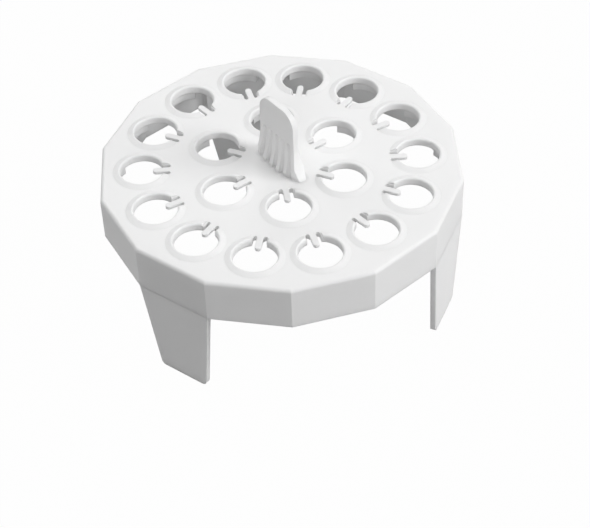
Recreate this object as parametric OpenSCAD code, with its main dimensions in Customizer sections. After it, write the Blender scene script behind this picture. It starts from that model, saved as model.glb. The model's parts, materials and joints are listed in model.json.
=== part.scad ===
// Round bench rack for twenty microcentrifuge tubes.
//
// One white moulding carries the tubes: a fourteen-sided plate with a skirt round it, two rings of
// rimmed holes with a spring tongue in each, and an upright finger grip in the middle.
// Three flat tapered legs plug into sockets behind the skirt and stand flush with its outside.
// The origin is at the middle of the footprint, level with the feet. +Z is up, and one leg is at +Y.

/* [Plate and skirt] */
// Width of the plate, corner to corner
plate_d = 100; // [99:1:130]
// Thickness of the plate
plate_t = 1.6; // [1.4:0.1:3]
// Height of the skirt, from the top of the plate to its lower edge
skirt_h = 13; // [12.4:0.2:20]
// Thickness of the skirt's wall
skirt_t = 1.5; // [1.2:0.1:2]
// Rounding of the plate's top edge
edge_r = 1; // [0.5:0.1:1.2]
// Height of the whole rack without its grip, from the feet to the top of the plate
rack_h = 40; // [30:1:60]

/* [Tube holes] */
// Diameter of a tube hole
hole_d = 11.8; // [11.4:0.1:12]
// Diameter of the low rim round a tube hole, where it runs out into the plate
rim_d = 15.9; // [15:0.1:16.2]
// Height of the rim above the plate
rim_h = 0.6; // [0.3:0.1:1]
// Rounding of the rim's edge at the hole
lip_r = 0.5; // [0.3:0.1:0.8]
// Width of the gap in the rim where the tongue is
rim_gap = 4.6; // [4.4:0.1:6]
// Distance from the skirt's outside to the middle of the outer holes
outer_inset = 11.1; // [10.8:0.1:11.6]
// Distance from the middle of the rack to the middle of the inner holes
inner_ring_r = 18.7; // [18:0.1:19.2]

/* [Spring tongues] */
// Width of a spring tongue
tongue_w = 1.7; // [1.4:0.1:2.2]
// Thickness of a tongue, which is flush with the top of the plate
tongue_t = 0.9; // [0.7:0.1:1.2]
// How far a tongue reaches into its hole
tongue_reach = 2.9; // [1:0.1:3.6]
// Width of the slot on each side of a tongue
slot_w = 1.1; // [0.8:0.1:1.3]
// Length of a slot, from the edge of the hole
slot_l = 1.9; // [0.8:0.1:2.4]

/* [Guide walls] */
// Depth of the curved guide wall under each hole, below the plate
guide_h = 2.9; // [1.5:0.1:5]
// Distance across the inside of a guide wall
guide_d = 13.5; // [13:0.1:14]
// Thickness of a guide wall
guide_t = 1.1; // [0.8:0.1:1.2]
// Angle that a guide wall covers, on the side of its hole that faces outward
guide_angle = 88; // [60:2:100]

/* [Finger grip] */
// Width of the grip, above its foot
grip_w = 14.6; // [12:0.2:16]
// Height of the grip above the plate
grip_h = 20; // [17:0.2:28]
// Thickness of the grip, above its foot
grip_t = 1.6; // [1.4:0.1:2.4]
// Radius of the grip's rounded shoulders
shoulder_r = 4.5; // [3:0.5:6]
// Height above the plate at which the grip starts to widen into its foot
foot_rise = 10; // [6:0.5:12]
// How far the foot runs out at the grip's left end
foot_left_reach = 0.2; // [0.2:0.2:3]
// How far the foot runs out at the grip's right end
foot_right_reach = 2.8; // [1:0.2:3]
// How far the foot runs out on each face
foot_face_reach = 2.2; // [1:0.1:2.6]
// Radius of the curve of the foot's long sides, seen from above
foot_bow_r = 27; // [24:1:40]
// Number of upright flutes on each face of the grip
flute_count = 5; // [3:1:5]
// Distance between flutes
flute_pitch = 2.6; // [2.4:0.1:2.8]
// Width of a flute, where it is cut into the grip above the foot
flute_w = 1.5; // [1.2:0.1:1.7]
// Depth of a flute in the grip above the foot
flute_depth = 0.45; // [0.2:0.05:0.5]
// Height of the flutes above the plate
flute_h = 10.5; // [8:0.5:12]
// Angle at which a flute leans out as it goes down, to follow the foot
flute_lean = 7; // [3:0.5:9]
// Angle by which each flute leans further to the right than the one on its left
flute_fan = 2.4; // [0:0.2:2.6]

/* [Legs] */
// Thickness of a leg
leg_t = 1.5; // [1.2:0.1:2]
// How far the gently sloping edge of a leg runs in, from the skirt to the foot
gentle_taper = 2.4; // [1:0.1:3]
// How far the steeper edge of a leg runs in, from the skirt to the foot
steep_taper = 4.9; // [3:0.1:6]
// Radius of the foot's corners
foot_r = 1.6; // [1:0.1:2.5]

/* [Leg sockets] */
// Width of the tab on a leg that plugs into its socket
tab_w = 17.6; // [14:0.2:18]
// Thickness of the tab
tab_t = 1.2; // [1:0.1:1.3]
// Length of the tab, above the skirt's lower edge
tab_l = 9.5; // [6:0.5:9.8]
// Length of the step that joins the tab to the leg, below the skirt's lower edge
step_l = 4; // [2:0.5:8]
// Gap between a tab and its socket, on every side
tab_gap = 0.1; // [0.05:0.05:0.15]
// Thickness of a socket's walls
socket_t = 1.1; // [0.8:0.1:1.2]

/* [Hidden] */
white = "#F2F2F0";
$fn = 96;

// How far a cut runs past the face that it opens
over = 1;

// Flat strips that make up the rounding of the plate's top edge
edge_steps = 6;

// Cones that make up a hole's rounded lip
lip_steps = 4;

// Flat strips that make up the flare of the grip's foot
foot_steps = 6;

// The regular polygon of the plate
side_count = 14;
side_step = 360 / side_count;
plate_r = plate_d / 2;
side_r = plate_r * cos(side_step / 2);
side_w = 2 * plate_r * sin(side_step / 2);

// The legs stand as near to thirds of the way round as the sides allow
third = round(side_count / 3);
back_angle = 90;
right_angle = back_angle - third * side_step;
left_angle = back_angle + third * side_step;

// The rings of holes
outer_ring_r = side_r - outer_inset;
inner_count = 6;
inner_step = 360 / inner_count;
grip_angle = right_angle - inner_step / 2;

// The crest of a rim, at the outside of the rounded lip
crest_r = hole_d / 2 + lip_r;
crest_z = rack_h + rim_h;

// Heights above the feet
plate_under_z = rack_h - plate_t;
skirt_z = rack_h - skirt_h;

// A slot's middle line lies this far from the middle of its tongue
slot_offset = (tongue_w + slot_w) / 2;

// Depths behind the skirt's outside
tab_depth = skirt_t + tab_gap;
socket_depth = tab_depth + tab_t + tab_gap;

// A flute is part of a cylinder of this radius
flute_r = (flute_w * flute_w / 4 + flute_depth * flute_depth) / (2 * flute_depth);

// Corners of a regular polygon whose flats lie at the given distance from its middle
function polygon_corners(flat_r) = [
    for (i = [0:side_count - 1])
        let (a = back_angle + (i + 0.5) * side_step)
            [cos(a), sin(a)] * flat_r / cos(side_step / 2)
];

// A bar across the whole plate, with its two long upper edges rounded
module rounded_bar() {
    corner = [side_r - edge_r, rack_h - edge_r];
    arc = [for (i = [0:edge_steps]) corner + edge_r * [sin(90 * i / edge_steps), cos(90 * i / edge_steps)]];
    right = concat(arc, [[side_r, skirt_z]]);
    left = [for (i = [len(right) - 1:-1:0]) [-right[i].x, right[i].y]];
    rotate([90, 0, 90])
        linear_extrude(height = 2 * plate_d, center = true)
            polygon(concat(right, left));
}

// The outer form of the plate and skirt, as what all the bars have in common
module shell() {
    intersection_for (i = [0:side_count / 2 - 1])
        rotate([0, 0, i * side_step])
            rounded_bar();
}

// Puts a child that points outward along +Y at one of the outer holes
module at_outer(i) {
    rotate([0, 0, i * side_step])
        translate([0, outer_ring_r, 0])
            children();
}

// Puts a child that points outward along +Y at one of the inner holes
module at_inner(i) {
    rotate([0, 0, right_angle - back_angle + i * inner_step])
        translate([0, inner_ring_r, 0])
            children();
}

module at_all_holes() {
    for (i = [0:side_count - 1])
        at_outer(i)
            children();
    for (i = [0:inner_count - 1])
        at_inner(i)
            children();
}

// The low rim on top of the plate round a hole, with a gap where the tongue is: its crest stands close
// to the hole, and its outer flank slopes gently down to the plate
module rim() {
    sink_z = rack_h - plate_t / 2;
    difference() {
        rotate_extrude()
            polygon([[0, sink_z], [0, crest_z], [crest_r, crest_z], [rim_d / 2, rack_h],
                     [rim_d / 2, sink_z]]);
        translate([-rim_gap / 2, -rim_d, sink_z - over])
            cube([rim_gap, rim_d, rim_h + plate_t + 2 * over]);
    }
}

// The bore of a hole, which opens out at the top in a rounded lip
module bore() {
    lip = [for (i = [0:lip_steps])
        let (a = 90 * i / lip_steps)
            [crest_r - lip_r * cos(a), crest_z - lip_r * (1 - sin(a))]];
    rotate_extrude()
        polygon(concat([[0, plate_under_z - over], [hole_d / 2, plate_under_z - over]], lip,
                       [[crest_r, crest_z + over], [0, crest_z + over]]));
}

// What a tube hole takes out of the plate: the bore and the slots on each side of the tongue,
// with the room below the tongue
module hole_cut() {
    cut_z = plate_under_z - over;
    cut_h = plate_t + rim_h + 2 * over;
    slot_end_y = -hole_d / 2 - slot_l + slot_w / 2;
    difference() {
        union() {
            bore();
            translate([-slot_offset, slot_end_y, cut_z])
                cube([2 * slot_offset, -slot_end_y, cut_h]);
            for (side = [-1, 1]) {
                translate([side * slot_offset - slot_w / 2, slot_end_y, cut_z])
                    cube([slot_w, -slot_end_y, cut_h]);
                translate([side * slot_offset, slot_end_y, cut_z])
                    cylinder(d = slot_w, h = cut_h);
            }
        }
        tongue();
    }
}

// The spring tongue of a hole, from behind the ends of its slots to its rounded tip
module tongue() {
    tip_y = tongue_reach - hole_d / 2 - tongue_w / 2;
    back_y = -hole_d / 2 - slot_l - over;
    height = tongue_t + rim_h + 2 * over;
    translate([0, 0, rack_h - tongue_t]) {
        translate([-tongue_w / 2, back_y, 0])
            cube([tongue_w, tip_y - back_y, height]);
        translate([0, tip_y, 0])
            cylinder(d = tongue_w, h = height);
    }
}

// The curved wall under the outward side of a hole, which steers the tube as it goes in
module guide_wall() {
    reach = guide_d + 4 * guide_t;
    half = guide_angle / 2;
    translate([0, 0, plate_under_z - guide_h])
        intersection() {
            difference() {
                cylinder(d = guide_d + 2 * guide_t, h = guide_h + plate_t / 2);
                translate([0, 0, -over])
                    cylinder(d = guide_d, h = guide_h + plate_t + 2 * over);
            }
            linear_extrude(height = guide_h + plate_t / 2)
                polygon([[0, 0], [reach * sin(half), reach * cos(half)],
                         [0, 2 * reach], [-reach * sin(half), reach * cos(half)]]);
        }
}

// One side of the foot's flare: a curve from the grip's own edge at foot_rise down to the plate
function flare(edge, reach) = [
    for (i = [foot_steps:-1:0])
        [edge + reach * pow(1 - i / foot_steps, 2), foot_rise * i / foot_steps]
];

// The foot's flare on both sides of a middle line, down into the plate
module flared_foot(edge, left_reach, right_reach) {
    left = flare(edge, left_reach);
    right = flare(edge, right_reach);
    polygon([
        each right,
        [edge + right_reach, -plate_t / 2],
        [-edge - left_reach, -plate_t / 2],
        for (i = [foot_steps:-1:0]) [-left[i].x, left[i].y]
    ]);
}

// The grip as seen from its face, in X and Y
module grip_outline() {
    shoulder_x = grip_w / 2 - shoulder_r;
    shoulder_y = grip_h - shoulder_r;
    flared_foot(grip_w / 2, foot_left_reach, foot_right_reach);
    translate([-grip_w / 2, 0])
        square([grip_w, shoulder_y]);
    translate([-shoulder_x, 0])
        square([2 * shoulder_x, grip_h]);
    for (side = [-1, 1])
        translate([side * shoulder_x, shoulder_y])
            circle(r = shoulder_r);
}

// The grip as seen from its end, in X and Y
module grip_section() {
    flared_foot(grip_t / 2, foot_face_reach, foot_face_reach);
    translate([-grip_t / 2, 0])
        square([grip_t, grip_h + over]);
}

// The foot's long sides are bowed, so the grip also stays inside this upright form
module foot_bow() {
    shift = foot_bow_r - grip_t / 2 - foot_face_reach;
    intersection_for (side = [-1, 1])
        translate([0, side * shift, -plate_t])
            cylinder(r = foot_bow_r, h = grip_h + plate_t + over);
}

// One flute: it hangs down from its rounded top, which is at the origin
module flute() {
    length = flute_h + plate_t;
    rotate([180, 0, 0])
        cylinder(r = flute_r, h = length);
    sphere(r = flute_r);
}

// The flutes of the grip's front face
module face_flutes() {
    for (i = [0:flute_count - 1])
        translate([(i - (flute_count - 1) / 2) * flute_pitch,
                   flute_depth - flute_r - grip_t / 2,
                   flute_h - flute_r])
            rotate([-flute_lean, -i * flute_fan, 0])
                flute();
}

module grip() {
    rotate([0, 0, grip_angle])
        translate([0, 0, rack_h])
            difference() {
                intersection() {
                    rotate([90, 0, 0])
                        linear_extrude(height = grip_w, center = true)
                            grip_outline();
                    rotate([90, 0, 90])
                        linear_extrude(height = 2 * grip_w, center = true)
                            grip_section();
                    foot_bow();
                }
                for (face = [0, 1])
                    mirror([0, face, 0])
                        face_flutes();
            }
}

// Puts a child that points outward along +Y at each leg's side of the rack
module at_leg_sides() {
    for (a = [back_angle, right_angle, left_angle])
        rotate([0, 0, a - back_angle])
            children();
}

// The block behind the skirt that a leg's pocket is sunk into, on the side that faces +Y
module socket_block() {
    block_w = tab_w + 2 * (tab_gap + socket_t);
    block_depth = socket_depth + socket_t;
    translate([-block_w / 2, side_r - block_depth, skirt_z])
        cube([block_w, block_depth - skirt_t / 2, skirt_h - plate_t / 2]);
}

// The pocket that a leg's tab slides up into, open at the skirt's lower edge
module pocket() {
    pocket_w = tab_w + 2 * tab_gap;
    translate([-pocket_w / 2, side_r - socket_depth, skirt_z - over])
        cube([pocket_w, socket_depth - skirt_t, skirt_h - plate_t + over]);
}

// The plate and skirt with the rims round the holes, and with the holes and slots cut
module plate_and_skirt() {
    difference() {
        union() {
            shell();
            at_all_holes()
                rim();
        }
        translate([0, 0, skirt_z - over])
            linear_extrude(height = skirt_h - plate_t + over)
                polygon(polygon_corners(side_r - skirt_t));
        at_all_holes()
            hole_cut();
    }
}

module rack_body() {
    color(white)
        difference() {
            union() {
                plate_and_skirt();
                at_all_holes()
                    guide_wall();
                at_leg_sides()
                    socket_block();
                grip();
            }
            at_leg_sides()
                pocket();
        }
}

// One edge of the leg as seen from outside: the middle of the foot's corner circle
function foot_corner_x(taper, length) =
    let (slope = atan(taper / length))
        side_w / 2 - taper * (length - foot_r) / length - foot_r / cos(slope);

// The leg's outline from outside, in X and Y, with its steeper edge towards +X
module leg_outline() {
    steep = atan(steep_taper / skirt_z);
    gentle = atan(gentle_taper / skirt_z);
    steep_x = foot_corner_x(steep_taper, skirt_z);
    gentle_x = foot_corner_x(gentle_taper, skirt_z);
    polygon([
        [-side_w / 2, skirt_z],
        [-gentle_x - foot_r * cos(gentle), foot_r - foot_r * sin(gentle)],
        [-gentle_x, foot_r],
        [-gentle_x, 0],
        [steep_x, 0],
        [steep_x, foot_r],
        [steep_x + foot_r * cos(steep), foot_r - foot_r * sin(steep)],
        [side_w / 2, skirt_z]
    ]);
    translate([-gentle_x, foot_r])
        circle(r = foot_r);
    translate([steep_x, foot_r])
        circle(r = foot_r);
}

// A leg on the side that faces +Y: the blade flush with the skirt's outside, and the tab that is
// set back behind the skirt
module leg() {
    translate([0, side_r - leg_t, 0])
        rotate([90, 0, 0])
            mirror([0, 0, 1])
                linear_extrude(height = leg_t)
                    leg_outline();
    translate([-tab_w / 2, side_r - tab_depth - tab_t, skirt_z - step_l])
        cube([tab_w, tab_t, step_l + tab_l]);
    translate([-tab_w / 2, side_r - tab_depth - tab_t / 2, skirt_z - step_l])
        cube([tab_w, tab_depth + tab_t / 2 - leg_t / 2, step_l]);
}

module back_leg() {
    color(white)
        mirror([1, 0, 0])
            leg();
}

module right_leg() {
    color(white)
        rotate([0, 0, right_angle - back_angle])
            mirror([1, 0, 0])
                leg();
}

module left_leg() {
    color(white)
        rotate([0, 0, left_angle - back_angle])
            leg();
}

rack_body();
back_leg();
right_leg();
left_leg();
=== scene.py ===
import json
import math

import bmesh
import bpy
from mathutils import Matrix, Vector

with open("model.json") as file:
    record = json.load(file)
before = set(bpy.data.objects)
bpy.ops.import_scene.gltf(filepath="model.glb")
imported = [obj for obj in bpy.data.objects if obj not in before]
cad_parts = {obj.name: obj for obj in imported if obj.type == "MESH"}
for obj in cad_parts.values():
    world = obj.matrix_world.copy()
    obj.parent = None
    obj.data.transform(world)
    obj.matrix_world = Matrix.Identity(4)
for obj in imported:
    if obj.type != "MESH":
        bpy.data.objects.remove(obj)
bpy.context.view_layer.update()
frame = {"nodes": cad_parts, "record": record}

# ---------------------------------------------------------------- camera
# Angles in degrees, distances in metres, and the lens in millimetres
CAMERA_AZIMUTH = -14.82
CAMERA_ELEVATION = 43.59
CAMERA_ROLL = -2.10
CAMERA_DISTANCE = 0.4133
CAMERA_TARGET = Vector((-0.0074, -0.0396, 0.040))
CAMERA_LENS = 99.21


def direction(azimuth, elevation):
    """From the rack towards a viewpoint. Azimuth 0 is in front, and 90 is on the right."""
    azimuth, elevation = math.radians(azimuth), math.radians(elevation)
    return Vector((
        math.sin(azimuth) * math.cos(elevation),
        -math.cos(azimuth) * math.cos(elevation),
        math.sin(elevation),
    ))


def facing(away):
    """The turn of a camera or lamp that looks back along a direction."""
    return away.to_track_quat("Z", "Y").to_matrix().to_4x4()


def add_camera():
    """The camera looks down at the rack from its front, a little to the left."""
    data = bpy.data.cameras.new("camera")
    data.lens = CAMERA_LENS
    data.clip_start, data.clip_end = 0.01, 10
    camera = bpy.data.objects.new("camera", data)
    bpy.context.scene.collection.objects.link(camera)
    away = direction(CAMERA_AZIMUTH, CAMERA_ELEVATION)
    roll = Matrix.Rotation(math.radians(CAMERA_ROLL), 4, "Z")
    place = Matrix.Translation(CAMERA_TARGET + away * CAMERA_DISTANCE)
    camera.matrix_world = place @ facing(away) @ roll
    bpy.context.scene.camera = camera


add_camera()


# ---------------------------------------------------------------- materials by node
class Socket:
    """A node's output, with the arithmetic that adds Math nodes to its material."""

    def __init__(self, finish, link):
        self.finish, self.link = finish, link

    def maths(self, operation, *values):
        return self.finish.node("ShaderNodeMath", {"operation": operation}, dict(enumerate(values)))

    def __add__(self, other):
        return self.maths("ADD", self, other)

    def __sub__(self, other):
        return self.maths("SUBTRACT", self, other)

    def __rsub__(self, other):
        return self.maths("SUBTRACT", other, self)

    def __mul__(self, other):
        return self.maths("MULTIPLY", self, other)

    __radd__, __rmul__ = __add__, __mul__


class Finish:
    """A material or world whose nodes are added one by one."""

    def __init__(self, owner):
        owner.use_nodes = True
        self.owner, self.tree = owner, owner.node_tree

    def node(self, kind, settings, values, output=0):
        """Adds a node: its settings first, then the values or links of its sockets."""
        node = self.tree.nodes.new(kind)
        for name, setting in settings.items():
            setattr(node, name, setting)
        self.fill(node, values)
        return Socket(self, node.outputs[output])

    def fill(self, node, values):
        for name, value in values.items():
            if isinstance(value, Socket):
                self.tree.links.new(value.link, node.inputs[name])
            else:
                node.inputs[name].default_value = value


# ---------------------------------------------------------------- white plastic
# How bright each tone is: the plastic, its cloudy parts, and the painted shade in a narrow recess
PLASTIC_TONE = 0.875
CLOUDY_TONE = 0.965 * PLASTIC_TONE
PAINTED_SHADE_TONE = 0.84 * PLASTIC_TONE

# How many times each pattern repeats in a metre
LINE_SCALE = 320.0
GRAIN_SCALE = 1900.0

# Sizes in metres
GRAIN_DEPTH = 0.00002
SOFT_EDGE = 0.0003
# How far ambient occlusion looks for the recesses that get painted shade
PAINTED_SHADE_REACH = 0.0012
LIGHT_REACH = 0.006

# How strongly painted shade darkens the colour in a recess
PAINTED_SHADE_STRENGTH = 5.0
SAMPLES = 8


def grey(tone):
    """An opaque grey."""
    return (tone, tone, tone, 1)


def white_plastic(name, drift_scale, flow):
    """Satin white polypropylene: cloudy by a shade, finely grained, and soft at every edge.

    The flow lines of the moulding run along the stretched axis. Painted shade darkens the colour in
    the flutes, the slots and the other narrow recesses, and light passes into the thin walls."""
    finish = Finish(bpy.data.materials.new(name))

    def noise(place, scale, detail):
        values = {"Vector": place, "Scale": scale, "Detail": detail}
        return finish.node("ShaderNodeTexNoise", {}, values)

    def mix(factor, first, second):
        values = {"Factor": factor, 6: first, 7: second}
        return finish.node("ShaderNodeMix", {"data_type": "RGBA"}, values, 2)

    place = finish.node("ShaderNodeTexCoord", {}, {}, "Object")
    drawn = finish.node("ShaderNodeMapping", {}, {"Vector": place, "Scale": flow})
    drift = noise(place, drift_scale, 3.0)
    lines = noise(drawn, LINE_SCALE, 2.0)
    grain = noise(place, GRAIN_SCALE, 2.0)
    cloud = drift * 0.55 + lines * 0.25 + grain * 0.2
    # Painted shade: ambient occlusion darkens the colour in the flutes, slots and other narrow
    # recesses
    open_sky = finish.node(
        "ShaderNodeAmbientOcclusion",
        {"samples": SAMPLES, "only_local": True},
        {"Distance": PAINTED_SHADE_REACH},
        1,
    )
    painted_shade = finish.node("ShaderNodeClamp", {}, {"Value": (1 - open_sky) * PAINTED_SHADE_STRENGTH})
    plastic_colour = mix(cloud, grey(CLOUDY_TONE), grey(PLASTIC_TONE))
    rounded = finish.node("ShaderNodeBevel", {"samples": SAMPLES}, {"Radius": SOFT_EDGE})
    bumpy = finish.node("ShaderNodeBump", {}, {
        "Strength": 0.6,
        "Distance": GRAIN_DEPTH,
        "Height": grain + lines * 0.5,
        "Normal": rounded,
    })
    finish.fill(finish.tree.nodes["Principled BSDF"], {
        # The base colour carries painted shade in the narrow recesses
        "Base Color": mix(painted_shade, plastic_colour, grey(PAINTED_SHADE_TONE)),
        "Subsurface Weight": 0.3,
        "Subsurface Radius": (1.0, 1.0, 1.0),
        "Subsurface Scale": LIGHT_REACH,
        "Roughness": 0.40 + drift * 0.14 + grain * 0.08,
        "Normal": bumpy,
    })
    return finish.owner


slot_finish = {
    "body_plastic": white_plastic("rack_white_plastic", 70.0, (1.0, 1.0, 0.3)),
    "leg_plastic": white_plastic("leg_white_plastic", 90.0, (1.0, 1.0, 0.15)),
}
for row in frame["record"]["subparts"]:
    for slot in frame["nodes"][row["node"]].material_slots:
        slot.material = slot_finish[row["material_slot"]]


# ---------------------------------------------------------------- lamps, floor, background
LAMP_DISTANCE = 1.2
LAMP_SIZE = 0.8

# Each lamp's azimuth, elevation and power in watts
LAMPS = {
    "key_lamp": (60, 35, 11.6),
    "front_left_lamp": (-20, 35, 4.6),
    "back_left_lamp": (-140, 35, 3.9),
    "back_left_high_lamp": (-140, 65, 2.0),
    "back_lamp": (170, 35, 3.3),
}

FLOOR_REACH = 3
FLOOR_DROP = 0.0002
FLOOR_TONE = 0.3

# How much of the floor that is seen is plain white. The rest keeps the rack's shadow
FLOOR_WHITE = 0.985


def add_lamp(name, azimuth, elevation, power):
    """A round lamp that looks at the rack."""
    data = bpy.data.lights.new(name, "AREA")
    data.shape, data.size, data.energy = "DISK", LAMP_SIZE, power
    lamp = bpy.data.objects.new(name, data)
    bpy.context.scene.collection.objects.link(lamp)
    away = direction(azimuth, elevation)
    lamp.matrix_world = Matrix.Translation(away * LAMP_DISTANCE) @ facing(away)


for lamp_name, lamp_place in LAMPS.items():
    add_lamp(lamp_name, *lamp_place)


def seen_directly(finish):
    """1 for what the camera sees, also by reflection or through a clear piece, and 0 otherwise."""
    rays = [finish.node("ShaderNodeLightPath", {}, {}, ray)
            for ray in ("Is Camera Ray", "Is Glossy Ray", "Is Transmission Ray")]
    return finish.node("ShaderNodeClamp", {}, {"Value": rays[0] + rays[1] + rays[2]})


def add_world():
    """White where it is seen directly, and dark otherwise, so that the lamps alone light the rack."""
    world = bpy.data.worlds.new("studio")
    finish = Finish(world)
    finish.fill(finish.tree.nodes["Background"], {"Color": grey(1), "Strength": seen_directly(finish)})
    bpy.context.scene.world = world


def add_floor():
    """A pale floor that is seen as white, with a faint shadow of the rack on it."""
    mesh = bpy.data.meshes.new("floor")
    shape = bmesh.new()
    bmesh.ops.create_grid(shape, x_segments=1, y_segments=1, size=FLOOR_REACH)
    shape.to_mesh(mesh)
    shape.free()
    floor = bpy.data.objects.new("floor", mesh)
    bpy.context.scene.collection.objects.link(floor)
    floor.location.z = -FLOOR_DROP
    finish = Finish(bpy.data.materials.new("floor_white"))
    nodes = finish.tree.nodes
    shaded = finish.node("ShaderNodeBsdfDiffuse", {}, {"Color": grey(FLOOR_TONE)})
    white = finish.node("ShaderNodeEmission", {}, {"Color": grey(1), "Strength": 1.0})
    share = seen_directly(finish) * FLOOR_WHITE
    mixed = finish.node("ShaderNodeMixShader", {}, {0: share, 1: shaded, 2: white})
    finish.fill(nodes["Material Output"], {"Surface": mixed})
    nodes.remove(nodes["Principled BSDF"])
    mesh.materials.append(finish.owner)


add_world()
add_floor()

# ---------------------------------------------------------------- finish
bpy.context.scene.view_settings.view_transform = "Standard"
